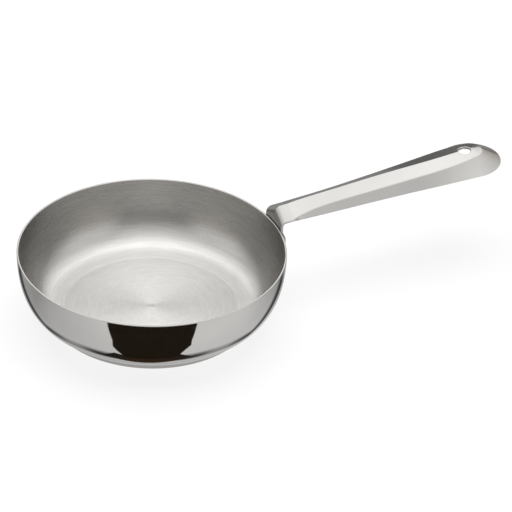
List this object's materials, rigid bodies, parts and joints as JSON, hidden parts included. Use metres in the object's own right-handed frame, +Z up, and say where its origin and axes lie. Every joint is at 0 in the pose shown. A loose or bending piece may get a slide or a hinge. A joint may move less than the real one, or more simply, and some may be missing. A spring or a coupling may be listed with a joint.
{
  "type": "omelette pan",
  "caption": "Small round stainless omelette pan with curved walls, a bonded base capsule and a long ridged sheet handle with a hanging hole.",
  "frame": {"origin": "on the pan's axis, in the flat underside that it stands on", "axes": "+Z up along the bowl's axis, +X along the handle, +Y across it"},
  "size_m": [0.3125, 0.16, 0.0649],
  "materials": {
    "bowl_steel": "mirror polished outside, circular brushed satin inside",
    "base_steel": "polished edge, circular brushed underside",
    "handle_steel": "polished, with fine lengthwise brushing",
    "core_aluminium": "plain rolled disc, sealed in the capsule",
    "weld_steel": "bare weld metal"
  },
  "bodies": {
    "root": {"bowl": "bowl_steel", "base_core": "core_aluminium", "base_cap": "base_steel", "handle": "handle_steel", "handle_welds": "weld_steel"}
  },
  "joints": []
}
